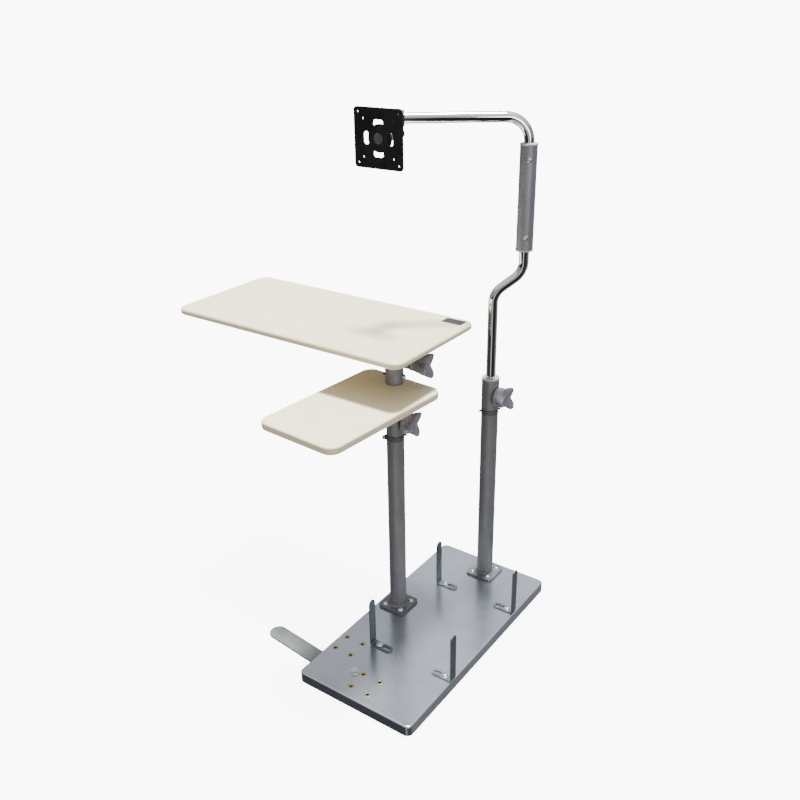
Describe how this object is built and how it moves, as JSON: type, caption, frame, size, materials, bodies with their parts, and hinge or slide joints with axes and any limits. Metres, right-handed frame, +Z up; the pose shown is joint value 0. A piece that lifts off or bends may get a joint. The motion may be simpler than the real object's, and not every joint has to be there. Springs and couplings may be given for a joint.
{
  "type": "computer floor stand",
  "caption": "Floor stand for a computer: base board with case brackets, a column with swinging keyboard and mouse trays, and a clamped mast with a swinging screen arm.",
  "frame": {"origin": "on the floor under the middle of the base board, at the middle of the centre glide's underside", "axes": "+Z up; +Y along the base board to its rear, so its front faces -Y; +X to the right seen from the front, and the trays reach out to -X"},
  "size_m": [0.792, 0.6077, 1.184],
  "materials": {
    "board_membrane": "silver membrane-wrapped board, satin",
    "glide": "matt",
    "insert": "turned",
    "foot_steel": "grey powder coat",
    "column": "grey powder coat, satin",
    "zinc": "zinc plated",
    "black_screw": "black oxide",
    "bush": "matt",
    "ring": "matt",
    "collar_cap": "light grey moulded",
    "bracket": "galvanised strip",
    "foot_strip": "silver paint",
    "post": "grey, satin",
    "tray": "off-white membrane-wrapped board, satin",
    "label": "dark blank plate",
    "knob": "grey moulded",
    "chrome": "polished",
    "sleeve": "grey satin",
    "sleeve_cap": "light grey moulded",
    "head_black": "black powder coat",
    "plug_black": "black moulded"
  },
  "bodies": {
    "stand": {"base_board": "board_membrane", "base_glides": "glide", "insert_nuts": "insert", "column_feet": "foot_steel", "flange_screws": "zinc", "tray_column_tube": "column", "mast_column_tube": "column", "tray_column_bush": "bush", "column_rings": "ring", "ring_washers": "bush", "ring_screws": "zinc", "ring_set_screws": "black_screw", "mast_collar": "column", "mast_collar_cap": "collar_cap", "bracket_bolts": "zinc", "bracket_washers": "zinc", "foot_pivot_bolt": "zinc", "foot_pivot_nut": "zinc"},
    "foot": {"swing_foot": "foot_strip"},
    "clip_front_right": {"bracket_front_right": "bracket"},
    "clip_rear_right": {"bracket_rear_right": "bracket"},
    "clip_front_left": {"bracket_front_left": "bracket"},
    "clip_rear_left": {"bracket_rear_left": "bracket"},
    "post": {"post_tube": "post", "post_guide_bush": "bush"},
    "mouse_shelf": {"mouse_hub_collar": "column", "mouse_hub_plate": "foot_steel", "mouse_hub_screws": "zinc", "mouse_tray": "tray"},
    "mouse_clamp": {"mouse_knob": "knob", "mouse_knob_stud": "black_screw"},
    "key_shelf": {"key_hub_sleeve": "sleeve", "key_hub_plate": "foot_steel", "key_hub_screws": "zinc", "key_lock_screw": "zinc", "key_set_screw": "black_screw", "key_tray": "tray", "label_plate": "label"},
    "key_clamp": {"key_knob": "knob", "key_knob_stud": "black_screw"},
    "mast_clamp": {"mast_knob": "knob", "mast_knob_stud": "black_screw"},
    "mast_carrier": {"mast_guide_bush": "bush"},
    "mast": {"mast_tube": "chrome", "joint_sleeve": "sleeve", "joint_cap_lower": "sleeve_cap", "joint_cap_upper": "sleeve_cap", "joint_spacer": "bush", "joint_screws": "zinc"},
    "arm": {"arm_tube": "chrome", "arm_end_cap": "plug_black", "head_block": "head_black", "head_block_screw": "zinc", "pan_bolt": "zinc"},
    "pan_head": {"pan_yoke": "head_black"},
    "tilt_head": {"tilt_bracket": "head_black", "tilt_bolt": "zinc", "tilt_nut": "zinc", "turn_bolt": "zinc"},
    "plate": {"screen_plate": "head_black"}
  },
  "joints": [
    {"name": "foot_swing", "type": "hinge", "parent": "stand", "child": "foot", "pos_m": [-0.045, -0.2305, 0.002], "axis": [0, 0, 1], "range_deg": [-84, 6]},
    {"name": "clip_front_right_slide", "type": "slide", "parent": "stand", "child": "clip_front_right", "axis": [1, 0, 0], "range_m": [-0.0055, 0.0245]},
    {"name": "clip_rear_right_slide", "type": "slide", "parent": "stand", "child": "clip_rear_right", "axis": [1, 0, 0], "range_m": [-0.002, 0.028]},
    {"name": "clip_front_left_slide", "type": "slide", "parent": "stand", "child": "clip_front_left", "axis": [-1, 0, 0], "range_m": [-0.0055, 0.0245]},
    {"name": "clip_rear_left_slide", "type": "slide", "parent": "stand", "child": "clip_rear_left", "axis": [-1, 0, 0], "range_m": [-0.0055, 0.0245]},
    {"name": "post_height", "type": "slide", "parent": "stand", "child": "post", "axis": [0, 0, 1], "range_m": [0, 0.15]},
    {"name": "mouse_swing", "type": "hinge", "parent": "post", "child": "mouse_shelf", "pos_m": [-0.103, 0.018, 0.54], "axis": [0, 0, 1], "range_deg": [-120, 100]},
    {"name": "mouse_knob_turn", "type": "hinge", "parent": "mouse_shelf", "child": "mouse_clamp", "pos_m": [-0.103, 0.018, 0.53], "axis": [0.9903, 0.1392, 0], "range_deg": [0, 360]},
    {"name": "key_swing", "type": "hinge", "parent": "post", "child": "key_shelf", "pos_m": [-0.103, 0.018, 0.66], "axis": [0, 0, 1], "range_deg": [-60, 150]},
    {"name": "key_knob_turn", "type": "hinge", "parent": "key_shelf", "child": "key_clamp", "pos_m": [-0.103, 0.018, 0.671], "axis": [0.9848, 0.1736, 0], "range_deg": [0, 360]},
    {"name": "mast_knob_turn", "type": "hinge", "parent": "stand", "child": "mast_clamp", "pos_m": [0.004, 0.251, 0.533], "axis": [0.9903, -0.1392, 0], "range_deg": [0, 360]},
    {"name": "mast_height", "type": "slide", "parent": "stand", "child": "mast_carrier", "axis": [0, 0, 1], "range_m": [-0.12, 0.12]},
    {"name": "mast_swing", "type": "hinge", "parent": "mast_carrier", "child": "mast", "pos_m": [0.004, 0.251, 0.6], "axis": [0, 0, 1], "range_deg": [-60, 60]},
    {"name": "arm_swing", "type": "hinge", "parent": "mast", "child": "arm", "pos_m": [0.05604, 0.28826, 1.05], "axis": [0, 0, 1], "range_deg": [-90, 90]},
    {"name": "head_pan", "type": "hinge", "parent": "arm", "child": "pan_head", "pos_m": [-0.16512, 0.12992, 1.126], "axis": [0, 0, 1], "range_deg": [-45, 45]},
    {"name": "head_tilt", "type": "hinge", "parent": "pan_head", "child": "tilt_head", "pos_m": [-0.16512, 0.08992, 1.124], "axis": [1, 0, 0], "range_deg": [-15, 10]},
    {"name": "plate_turn", "type": "hinge", "parent": "tilt_head", "child": "plate", "pos_m": [-0.16512, 0.06692, 1.124], "axis": [0, 1, 0], "range_deg": [-90, 90]}
  ]
}
